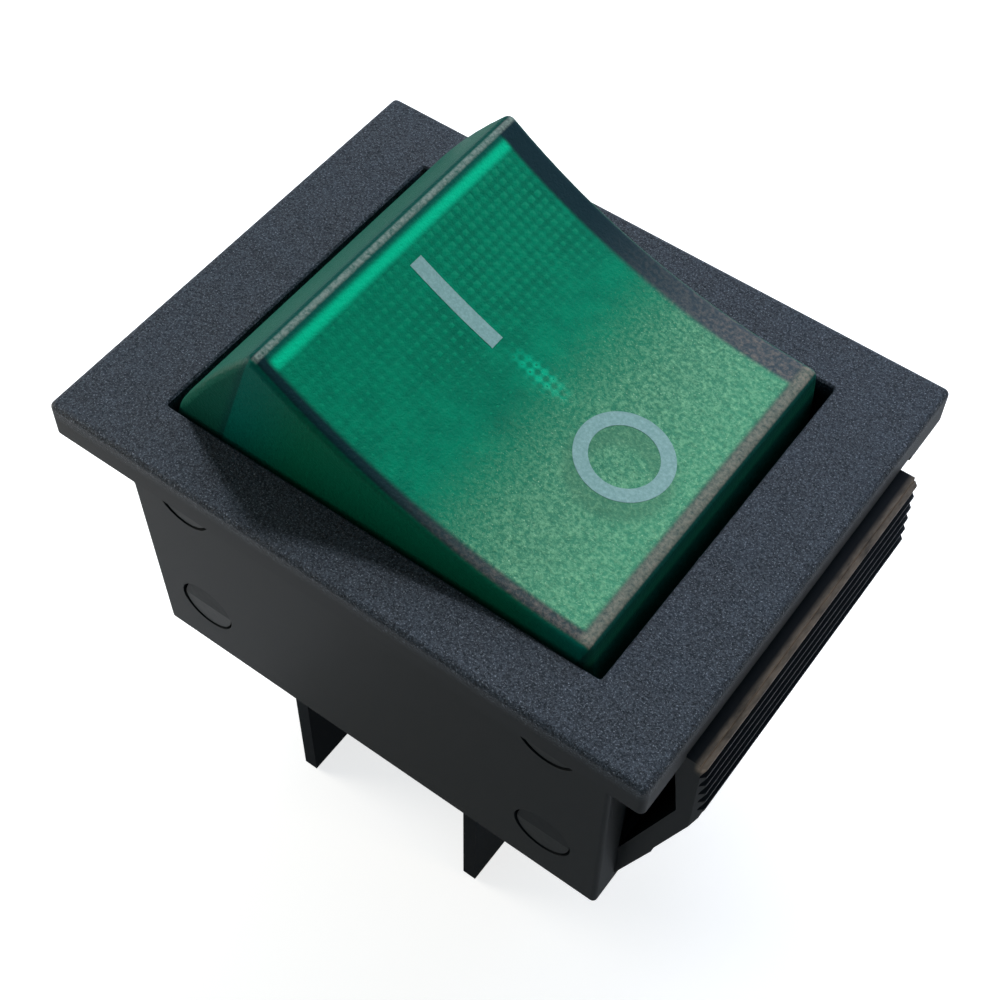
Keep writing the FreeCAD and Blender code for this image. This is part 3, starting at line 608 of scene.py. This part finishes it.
# headings from the switch, distances and sizes in metres, powers in watts
softBoxes = {
    "key": {"heading": (-0.29, 0.41, 0.87), "distance": 0.50, "size": 0.07,
            "power": 1.75, "tint": "#f2f6ff"},
    "halo": {"heading": (-0.22, 0.62, 0.75), "distance": 0.50, "size": 0.34,
             "power": 1.15, "tint": "#f2f6ff"},
    "left": {"heading": (-0.92, -0.38, 0.08), "distance": 0.07, "size": 0.04,
             "power": 0.034, "tint": "#fff6e8"},
    "far": {"heading": (0.35, 0.80, 0.48), "distance": 0.07, "size": 0.04,
            "power": 0.014, "tint": "#c8d8ff"},
    "right": {"heading": (0.90, 0.10, 0.30), "distance": 0.30, "size": 0.10,
              "power": 0.15, "tint": "#ffe2c0"},
}


def whitePaper():
    # matte paper that the camera sees as white, darker only where the object shades it
    material = bpy.data.materials.new("paper_white_matte")
    material.use_nodes = True
    tree = material.node_tree
    tree.nodes.clear()
    matte = addNode(tree, "ShaderNodeBsdfDiffuse", {"Color": linear(studio["paper"])})
    rays = addNode(tree, "ShaderNodeLightPath")
    through = addNode(tree, "ShaderNodeMath", {0: rays["Is Glossy Ray"], 1: rays["Is Transmission Ray"]},
                      operation="MAXIMUM")["Value"]
    mirrored = addNode(tree, "ShaderNodeMath", {0: through, 1: studio["paperMirrored"]},
                       operation="MULTIPLY")["Value"]
    seen = addNode(tree, "ShaderNodeMath", {0: rays["Is Camera Ray"], 1: studio["paperSeen"], 2: mirrored},
                   operation="MULTIPLY_ADD")["Value"]
    lift = addNode(tree, "ShaderNodeEmission", {"Strength": seen})
    total = addNode(tree, "ShaderNodeAddShader", {0: matte["BSDF"], 1: lift["Emission"]})
    addNode(tree, "ShaderNodeOutputMaterial", {"Surface": total["Shader"]})
    return material


bpy.ops.mesh.primitive_plane_add(size=studio["floorSize"],
                                 location=(0, 0, cadLow.z - studio["floorGap"] * mm))
floor = bpy.context.object
floor.name = "floor"
floor.data.materials.append(whitePaper())

world = bpy.data.worlds.new("studio")
bpy.context.scene.world = world
world.use_nodes = True
sky = world.node_tree
heading = addNode(sky, "ShaderNodeTexCoord")["Generated"]
rise = addNode(sky, "ShaderNodeSeparateXYZ", {0: heading})["Z"]
overhead = addNode(sky, "ShaderNodeMapRange", {"Value": rise, "From Min": studio["horizonRise"],
                                               "From Max": studio["zenithRise"]},
                   interpolation_type="SMOOTHSTEP")["Result"]
strength = addNode(sky, "ShaderNodeMapRange", {"Value": overhead, "To Min": studio["horizon"],
                                               "To Max": studio["zenith"]})["Result"]
tint = addNode(sky, "ShaderNodeMix", {"Factor": overhead, "A": linear(studio["horizonTint"]),
                                      "B": linear(studio["zenithTint"])}, data_type="RGBA")["Result"]
# past the floor's edge the camera sees white too
seen = addNode(sky, "ShaderNodeLightPath")["Is Camera Ray"]
strength = addNode(sky, "ShaderNodeMix", {"Factor": seen, "A": strength, "B": 1.0},
                   data_type="FLOAT")["Result"]
tint = addNode(sky, "ShaderNodeMix", {"Factor": seen, "A": tint, "B": linear("#ffffff")},
               data_type="RGBA")["Result"]
background = sky.nodes["Background"]
sky.links.new(strength, background.inputs["Strength"])
sky.links.new(tint, background.inputs["Color"])

for name, look in softBoxes.items():
    lamp = bpy.data.lights.new(name, "AREA")
    lamp.shape = "DISK"
    lamp.size = look["size"]
    lamp.energy = look["power"]
    lamp.color = linear(look["tint"])[:3]
    box = bpy.data.objects.new(name, lamp)
    bpy.context.scene.collection.objects.link(box)
    away = Vector(look["heading"]).normalized()
    box.location = away * look["distance"]
    box.rotation_euler = away.to_track_quat("Z", "Y").to_euler()

camera = bpy.data.objects.new("camera", bpy.data.cameras.new("camera"))
bpy.context.scene.collection.objects.link(camera)
camera.data.sensor_width = studio["sensor"]
camera.data.lens = studio["sensor"] * studio["focal"] / studio["picture"]
camera.data.clip_start = mm
camera.location = Vector(studio["cameraPlace"]) * mm
camera.rotation_euler = [math.radians(angle) for angle in studio["cameraTurn"]]
bpy.context.scene.camera = camera
bpy.context.scene.view_settings.view_transform = "Standard"
print("studio set")
